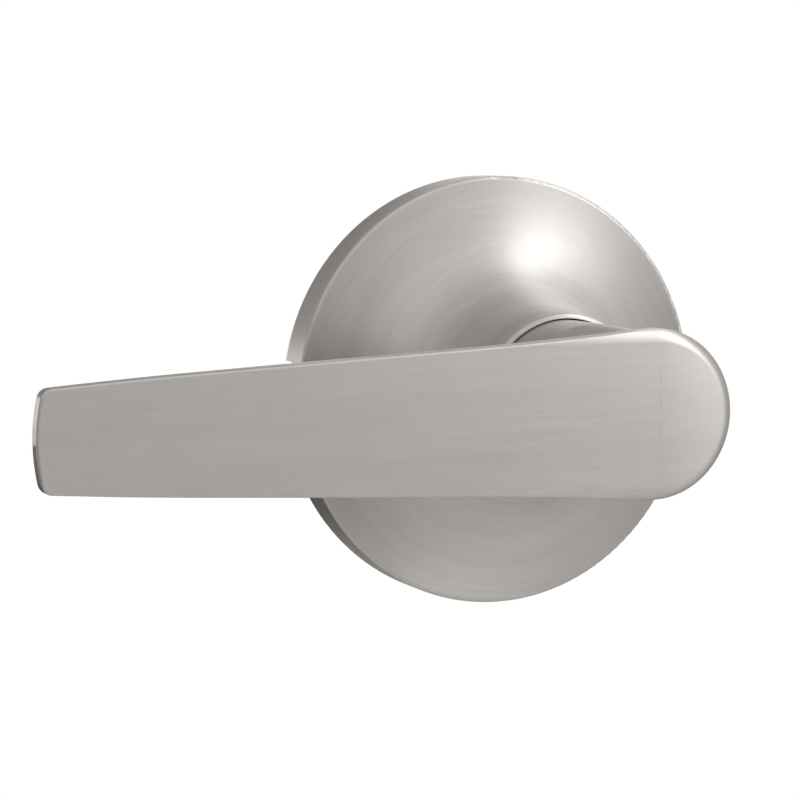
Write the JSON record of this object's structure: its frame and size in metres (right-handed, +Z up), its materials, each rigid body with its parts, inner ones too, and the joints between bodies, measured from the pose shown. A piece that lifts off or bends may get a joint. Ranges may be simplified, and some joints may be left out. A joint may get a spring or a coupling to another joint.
{
  "type": "lever handle lockset",
  "caption": "Passage lever lockset, outside half: flat lever with a round heel on a trumpet-shaped round rose, with its return spring, sleeve, cams, latch retractor and drum chassis.",
  "frame": {"origin": "on the lever's turning axis, in the plane of the door's face (the back of the rose)", "axes": "+Z up; -Y out of the door towards the user, +Y into the door; -X along the lever's blade, +X towards the latch and the door's edge"},
  "size_m": [0.1583, 0.132, 0.0888],
  "materials": {
    "satin_nickel": "satin nickel, straight brushed along the blade",
    "satin_nickel_spun": "satin nickel, brushed in circles",
    "zinc_plated_steel": "bright zinc plate",
    "yellow_chromate_steel": "yellow chromate over zinc plate",
    "spring_steel": "drawn spring wire and strip, oiled",
    "sintered_steel": "sintered steel, fine matt grain",
    "cast_zinc": "die-cast zinc, as cast",
    "bronze": "oil-filled bronze",
    "white_nylon": "moulded nylon"
  },
  "bodies": {
    "lock_body": {"rose": "satin_nickel_spun", "mounting_plate": "zinc_plated_steel", "mounting_posts": "zinc_plated_steel", "rose_clips": "spring_steel", "spring_housing": "zinc_plated_steel", "housing_rivets": "zinc_plated_steel", "return_spring": "spring_steel", "sleeve_bushing": "white_nylon", "thrust_washer": "white_nylon", "hub_nut": "zinc_plated_steel", "chassis_housing": "yellow_chromate_steel", "front_cap": "cast_zinc", "rear_cap": "cast_zinc", "front_hub_bushing": "bronze", "rear_hub_bushing": "white_nylon", "chassis_screws": "zinc_plated_steel", "guide_plates": "zinc_plated_steel", "retractor_springs": "spring_steel"},
    "lever": {"lever_handle": "satin_nickel", "spindle_sleeve": "yellow_chromate_steel", "sleeve_ring": "spring_steel", "spring_driver": "sintered_steel", "front_cam": "sintered_steel", "drive_spindle": "zinc_plated_steel", "spindle_pin": "spring_steel", "rear_cam": "sintered_steel", "catch_spring": "spring_steel"},
    "catch": {"lever_catch": "sintered_steel"},
    "retractor_slide": {"retractor": "sintered_steel"}
  },
  "joints": [
    {"name": "lever_turn", "type": "hinge", "parent": "lock_body", "child": "lever", "pos_m": [0, 0, 0], "axis": [0, -1, 0], "range_deg": [0, 50], "stiffness_Nm_per_rad": 0.9, "springref_deg": -28.65, "deforming": ["return_spring", "retractor_springs"]},
    {"name": "retractor_draw", "type": "slide", "parent": "lock_body", "child": "retractor_slide", "axis": [-1, 0, 0], "range_m": [0, 0.0127]},
    {"name": "catch_press", "type": "slide", "parent": "lever", "child": "catch", "axis": [0, 0, 1], "range_m": [0, 0.0032], "stiffness_N_per_m": 400, "springref_m": -0.002, "deforming": ["catch_spring"]}
  ],
  "couplings": [
    {"joint": "retractor_draw", "follows": "lever_turn", "m_per_rad": 0.014439}
  ]
}
